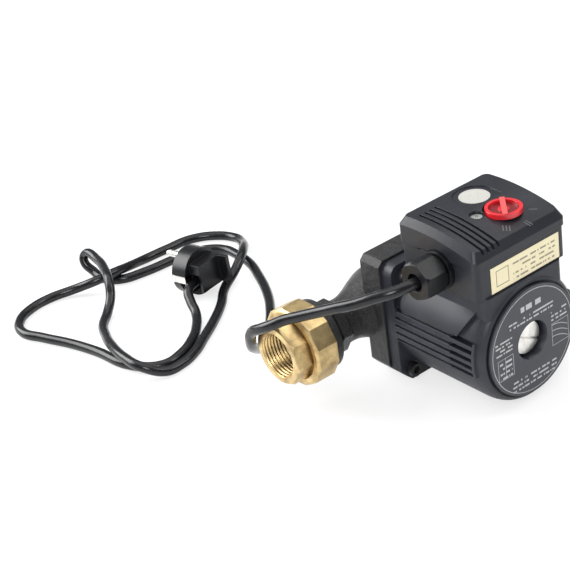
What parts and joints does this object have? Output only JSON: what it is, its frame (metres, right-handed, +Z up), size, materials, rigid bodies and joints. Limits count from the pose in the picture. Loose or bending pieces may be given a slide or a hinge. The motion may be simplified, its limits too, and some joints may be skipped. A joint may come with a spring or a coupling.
{
  "type": "circulation pump",
  "caption": "In-line wet-rotor circulation pump with brass pipe unions, ribbed motor, terminal box with red speed knob, and a mains lead with plug.",
  "frame": {"origin": "centre of the pump's box at the level it stands on, mains lead and plug left out", "axes": "+X along the pipe towards the right port, -Y towards the nameplate, +Z up through the terminal box"},
  "size_m": [0.2853, 0.375, 0.1232],
  "materials": {
    "cast_iron": "matt black coating over a grainy casting",
    "motor_enamel": "satin blue-black enamel",
    "box_plastic": "satin charcoal",
    "black_plastic": "satin black",
    "cord_rubber": "smooth black",
    "seal_rubber": "matt black",
    "brass": "machined, lightly tarnished",
    "steel": "plain",
    "plated_steel": "bright plated",
    "core_steel": "laminated",
    "copper_wire": "enamelled winding wire",
    "bearing_ceramic": "smooth",
    "wheel_plastic": "glass-filled plastic",
    "plate_film": "grey printed film, bare",
    "knob_red": "satin red",
    "sticker_film": "pale metallic",
    "label_film": "pale yellow, bare",
    "switch_plastic": "pale grey",
    "can_metal": "drawn can",
    "bolt_steel": "blackened"
  },
  "bodies": {
    "pump": {"pump_housing": "cast_iron", "housing_gasket": "seal_rubber", "wear_ring": "steel", "bearing_plate": "steel", "stator_housing": "motor_enamel", "flange_bolts": "bolt_steel", "stator_core": "core_steel", "stator_windings": "copper_wire", "rotor_can": "steel", "rear_bearing": "bearing_ceramic", "front_bearing": "bearing_ceramic", "nameplate": "plate_film", "terminal_box_base": "box_plastic", "box_screws": "steel", "terminal_box_lid": "box_plastic", "lid_seal": "seal_rubber", "lid_screw": "plated_steel", "capacitor": "can_metal", "terminal_block": "switch_plastic", "terminal_screws": "steel", "speed_switch": "black_plastic", "round_sticker": "sticker_film", "front_label": "label_film", "gland_body": "black_plastic", "gland_seal": "seal_rubber", "left_tailpiece": "brass", "right_tailpiece": "brass", "left_union_gasket": "seal_rubber", "right_union_gasket": "seal_rubber", "power_cord": "cord_rubber", "plug_body": "black_plastic", "plug_pins": "plated_steel", "plug_earth_clips": "plated_steel"},
    "rotor": {"rotor_shaft": "steel", "rotor_core": "core_steel", "thrust_ring": "seal_rubber", "impeller": "wheel_plastic"},
    "vent": {"vent_screw": "plated_steel", "vent_seal": "seal_rubber"},
    "selector": {"selector_knob": "knob_red"},
    "left_nut": {"left_union_nut": "brass"},
    "right_nut": {"right_union_nut": "brass"},
    "gland_cap": {"gland_nut": "black_plastic"}
  },
  "joints": [
    {"name": "rotor_spin", "type": "hinge", "parent": "pump", "child": "rotor", "pos_m": [0, -0.0184, 0.0435], "axis": [0, 1, 0], "continuous": true},
    {"name": "selector_turn", "type": "hinge", "parent": "pump", "child": "selector", "pos_m": [0.008, -0.0424, 0.1135], "axis": [0, 0, 1], "range_deg": [0, 96]},
    {"name": "vent_turn", "type": "hinge", "parent": "pump", "child": "vent", "pos_m": [0, -0.0584, 0.0435], "axis": [0, -1, 0], "range_deg": [0, 720]},
    {"name": "left_union_turn", "type": "hinge", "parent": "pump", "child": "left_nut", "pos_m": [-0.09, 0.0416, 0.0435], "axis": [-1, 0, 0], "range_deg": [0, 1180]},
    {"name": "right_union_turn", "type": "hinge", "parent": "pump", "child": "right_nut", "pos_m": [0.09, 0.0416, 0.0435], "axis": [1, 0, 0], "range_deg": [0, 1180]},
    {"name": "gland_nut_turn", "type": "hinge", "parent": "pump", "child": "gland_cap", "pos_m": [-0.048, -0.0324, 0.097], "axis": [-1, 0, 0], "range_deg": [0, 2000]}
  ]
}
